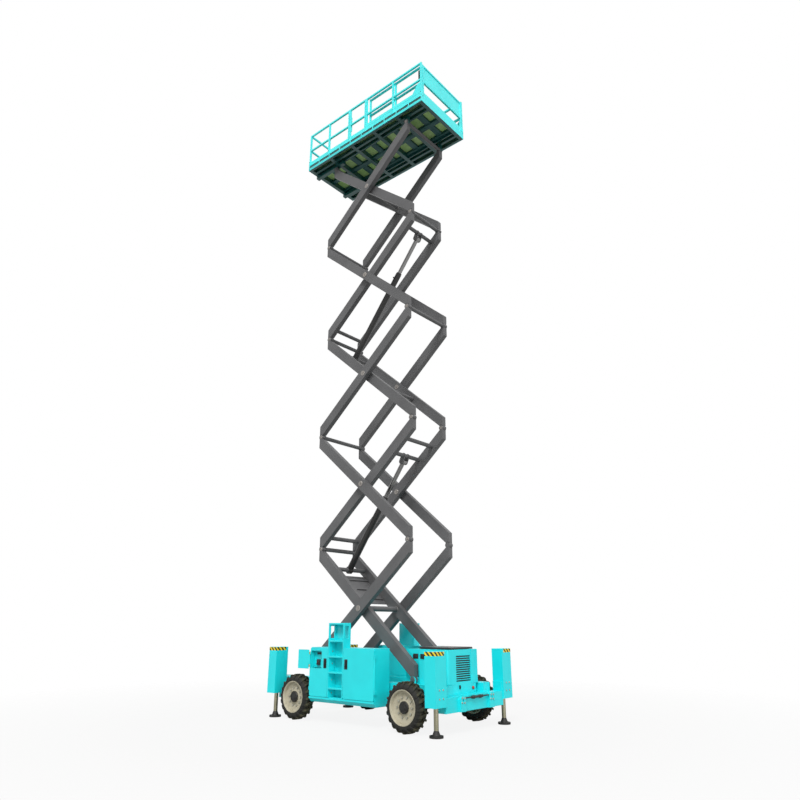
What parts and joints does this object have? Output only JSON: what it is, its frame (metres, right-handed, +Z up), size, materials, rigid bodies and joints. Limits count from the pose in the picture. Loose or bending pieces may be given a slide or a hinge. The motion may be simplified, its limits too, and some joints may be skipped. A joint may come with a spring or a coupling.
{
  "type": "rough-terrain scissor lift",
  "caption": "Self-propelled scissor lift with folding arm stack, railed roll-out platform, four lugged wheels and corner jacks, raised.",
  "frame": {"origin": "on the ground below the middle of the machine", "axes": "+X towards the front with the engine hood, -Y to the side with the ground controls, +Z up"},
  "size_m": [4.47, 2.29, 13.9901],
  "materials": {
    "cyan_paint": "gloss",
    "grey_paint": "satin",
    "tyre_rubber": "matte",
    "rim_paint": "satin",
    "jack_steel": "brushed",
    "rod_chrome": "polished",
    "black_paint": "satin",
    "black_plastic": "matte",
    "deck_steel": "satin"
  },
  "bodies": {
    "chassis": {"chassis_frame": "cyan_paint", "front_axle": "black_paint", "rear_axle": "black_paint", "front_crossbeam": "cyan_paint", "rear_crossbeam": "cyan_paint", "jack_boxes": "cyan_paint", "side_pod_right": "cyan_paint", "side_pod_left": "cyan_paint", "ladder_right": "cyan_paint", "ladder_left": "cyan_paint", "hood": "cyan_paint", "engine_block": "black_plastic"},
    "platform": {"deck_frame": "cyan_paint", "deck_plate": "deck_steel", "main_rails": "cyan_paint"},
    "extension": {"extension_deck": "deck_steel", "extension_rails": "cyan_paint", "control_box": "black_plastic"},
    "gate": {"gate": "cyan_paint"},
    "hood_lid": {"hood_lid": "black_plastic"},
    "control_flap": {"control_flap": "cyan_paint"},
    "arm_1a": {"arm_1a": "grey_paint"},
    "arm_1b": {"arm_1b": "grey_paint"},
    "arm_2a": {"arm_2a": "grey_paint"},
    "arm_2b": {"arm_2b": "grey_paint"},
    "arm_3a": {"arm_3a": "grey_paint"},
    "arm_3b": {"arm_3b": "grey_paint"},
    "arm_4a": {"arm_4a": "grey_paint"},
    "arm_4b": {"arm_4b": "grey_paint"},
    "arm_5a": {"arm_5a": "grey_paint"},
    "arm_5b": {"arm_5b": "grey_paint"},
    "lower_barrel": {"lower_cylinder_barrel": "black_paint"},
    "lower_rod": {"lower_cylinder_rod": "rod_chrome"},
    "upper_barrel": {"upper_cylinder_barrel": "black_paint"},
    "upper_rod": {"upper_cylinder_rod": "rod_chrome"},
    "jack_leg_front_right": {"jack_leg_front_right": "jack_steel"},
    "wheel_front_right": {"tyre_front_right": "tyre_rubber", "rim_front_right": "rim_paint"},
    "jack_leg_front_left": {"jack_leg_front_left": "jack_steel"},
    "wheel_front_left": {"tyre_front_left": "tyre_rubber", "rim_front_left": "rim_paint"},
    "jack_leg_rear_right": {"jack_leg_rear_right": "jack_steel"},
    "wheel_rear_right": {"tyre_rear_right": "tyre_rubber", "rim_rear_right": "rim_paint"},
    "jack_leg_rear_left": {"jack_leg_rear_left": "jack_steel"},
    "wheel_rear_left": {"tyre_rear_left": "tyre_rubber", "rim_rear_left": "rim_paint"},
    "knuckle_right": {"knuckle_right": "black_paint"},
    "rear_door_right": {"rear_door_right": "cyan_paint"},
    "front_door_right": {"front_door_right": "cyan_paint"},
    "knuckle_left": {"knuckle_left": "black_paint"},
    "rear_door_left": {"rear_door_left": "cyan_paint"},
    "front_door_left": {"front_door_left": "cyan_paint"}
  },
  "joints": [
    {"name": "lift", "type": "hinge", "parent": "chassis", "child": "arm_1b", "pos_m": [1.255, 0, 0.772], "axis": [0, 1, 0], "range_deg": [-40.78, 0]},
    {"name": "hinge_2a", "type": "hinge", "parent": "arm_1b", "child": "arm_2a", "pos_m": [-1.18463, 0, 3.16023], "axis": [0, 1, 0], "range_deg": [-1, 82.56]},
    {"name": "hinge_3b", "type": "hinge", "parent": "arm_2a", "child": "arm_3b", "pos_m": [1.255, 0, 5.54845], "axis": [0, 1, 0], "range_deg": [-82.56, 1]},
    {"name": "hinge_4a", "type": "hinge", "parent": "arm_3b", "child": "arm_4a", "pos_m": [-1.18463, 0, 7.93668], "axis": [0, 1, 0], "range_deg": [-1, 82.56]},
    {"name": "hinge_5b", "type": "hinge", "parent": "arm_4a", "child": "arm_5b", "pos_m": [1.255, 0, 10.3249], "axis": [0, 1, 0], "range_deg": [-82.56, 1]},
    {"name": "pivot_1a", "type": "hinge", "parent": "arm_1b", "child": "arm_1a", "pos_m": [0.03519, 0, 1.96611], "axis": [0, 1, 0], "range_deg": [-1, 82.56]},
    {"name": "pivot_2b", "type": "hinge", "parent": "arm_2a", "child": "arm_2b", "pos_m": [0.03519, 0, 4.35434], "axis": [0, 1, 0], "range_deg": [-82.56, 1]},
    {"name": "pivot_3a", "type": "hinge", "parent": "arm_3b", "child": "arm_3a", "pos_m": [0.03519, 0, 6.74256], "axis": [0, 1, 0], "range_deg": [-1, 82.56]},
    {"name": "pivot_4b", "type": "hinge", "parent": "arm_4a", "child": "arm_4b", "pos_m": [0.03519, 0, 9.13079], "axis": [0, 1, 0], "range_deg": [-82.56, 1]},
    {"name": "pivot_5a", "type": "hinge", "parent": "arm_5b", "child": "arm_5a", "pos_m": [0.03519, 0, 11.51901], "axis": [0, 1, 0], "range_deg": [-1, 82.56]},
    {"name": "platform_hinge", "type": "hinge", "parent": "arm_5a", "child": "platform", "pos_m": [1.255, 0, 12.71312], "axis": [0, 1, 0], "range_deg": [-41.78, 1]},
    {"name": "lower_barrel_hinge", "type": "hinge", "parent": "arm_1b", "child": "lower_barrel", "pos_m": [-0.87623, 0, 2.75225], "axis": [0, 1, 0], "range_deg": [-1, 90.24]},
    {"name": "lower_rod_slide", "type": "slide", "parent": "lower_barrel", "child": "lower_rod", "axis": [0.5771, 0, 0.8167], "range_m": [-0.61184, 0.015]},
    {"name": "upper_barrel_hinge", "type": "hinge", "parent": "arm_3b", "child": "upper_barrel", "pos_m": [-0.87623, 0, 7.5287], "axis": [0, 1, 0], "range_deg": [-1, 89.16]},
    {"name": "upper_rod_slide", "type": "slide", "parent": "upper_barrel", "child": "upper_rod", "axis": [0.6116, 0, 0.7912], "range_m": [-0.601, 0.015]},
    {"name": "jack_front_right", "type": "slide", "parent": "chassis", "child": "jack_leg_front_right", "axis": [0, 0, -1], "range_m": [-0.3, 0.12]},
    {"name": "jack_front_left", "type": "slide", "parent": "chassis", "child": "jack_leg_front_left", "axis": [0, 0, -1], "range_m": [-0.3, 0.12]},
    {"name": "jack_rear_right", "type": "slide", "parent": "chassis", "child": "jack_leg_rear_right", "axis": [0, 0, -1], "range_m": [-0.3, 0.12]},
    {"name": "jack_rear_left", "type": "slide", "parent": "chassis", "child": "jack_leg_rear_left", "axis": [0, 0, -1], "range_m": [-0.3, 0.12]},
    {"name": "steer_right", "type": "hinge", "parent": "chassis", "child": "knuckle_right", "pos_m": [1.496, -0.745, 0.395], "axis": [0, 0, 1], "range_deg": [-25, 25]},
    {"name": "wheel_front_right_spin", "type": "hinge", "parent": "knuckle_right", "child": "wheel_front_right", "pos_m": [1.496, -0.993, 0.395], "axis": [0, 1, 0], "continuous": true},
    {"name": "wheel_rear_right_spin", "type": "hinge", "parent": "chassis", "child": "wheel_rear_right", "pos_m": [-1.196, -0.993, 0.395], "axis": [0, 1, 0], "continuous": true},
    {"name": "steer_left", "type": "hinge", "parent": "chassis", "child": "knuckle_left", "pos_m": [1.496, 0.745, 0.395], "axis": [0, 0, 1], "range_deg": [-26, 26]},
    {"name": "wheel_front_left_spin", "type": "hinge", "parent": "knuckle_left", "child": "wheel_front_left", "pos_m": [1.496, 0.993, 0.395], "axis": [0, 1, 0], "continuous": true},
    {"name": "wheel_rear_left_spin", "type": "hinge", "parent": "chassis", "child": "wheel_rear_left", "pos_m": [-1.196, 0.993, 0.395], "axis": [0, 1, 0], "continuous": true},
    {"name": "rear_door_right_hinge", "type": "hinge", "parent": "chassis", "child": "rear_door_right", "pos_m": [-0.775, -1.0875, 0.8], "axis": [0, 0, -1], "range_deg": [0, 90]},
    {"name": "front_door_right_hinge", "type": "hinge", "parent": "chassis", "child": "front_door_right", "pos_m": [0.86, -1.0875, 0.8], "axis": [0, 0, 1], "range_deg": [0, 90]},
    {"name": "rear_door_left_hinge", "type": "hinge", "parent": "chassis", "child": "rear_door_left", "pos_m": [-0.775, 1.0875, 0.8], "axis": [0, 0, 1], "range_deg": [0, 90]},
    {"name": "front_door_left_hinge", "type": "hinge", "parent": "chassis", "child": "front_door_left", "pos_m": [0.86, 1.0875, 0.8], "axis": [0, 0, -1], "range_deg": [0, 90]},
    {"name": "control_flap_hinge", "type": "hinge", "parent": "rear_door_right", "child": "control_flap", "pos_m": [-0.759, -1.115, 1.065], "axis": [0, 0, -1], "range_deg": [-180, 0]},
    {"name": "hood_lid_hinge", "type": "hinge", "parent": "chassis", "child": "hood_lid", "pos_m": [1.224, 0, 1.286], "axis": [0, -1, 0], "range_deg": [0, 65]},
    {"name": "extension_slide", "type": "slide", "parent": "platform", "child": "extension", "axis": [1, 0, 0], "range_m": [0, 1.2]},
    {"name": "gate_hinge", "type": "hinge", "parent": "platform", "child": "gate", "pos_m": [-0.467, -0.759, 13.40812], "axis": [0, 0, 1], "range_deg": [0, 90]}
  ],
  "couplings": [
    {"joint": "hinge_2a", "follows": "lift", "ratio": -2},
    {"joint": "hinge_3b", "follows": "lift", "ratio": 2},
    {"joint": "hinge_4a", "follows": "lift", "ratio": -2},
    {"joint": "hinge_5b", "follows": "lift", "ratio": 2},
    {"joint": "pivot_1a", "follows": "lift", "ratio": -2},
    {"joint": "pivot_2b", "follows": "lift", "ratio": 2},
    {"joint": "pivot_3a", "follows": "lift", "ratio": -2},
    {"joint": "pivot_4b", "follows": "lift", "ratio": 2},
    {"joint": "pivot_5a", "follows": "lift", "ratio": -2},
    {"joint": "platform_hinge", "follows": "lift", "ratio": 1},
    {"joint": "lower_barrel_hinge", "follows": "lift", "ratio": -2.1884},
    {"joint": "lower_rod_slide", "follows": "lift", "m_per_rad": 0.83857},
    {"joint": "upper_barrel_hinge", "follows": "lift", "ratio": -2.1618},
    {"joint": "upper_rod_slide", "follows": "lift", "m_per_rad": 0.82335},
    {"joint": "steer_left", "follows": "steer_right", "ratio": 1}
  ]
}
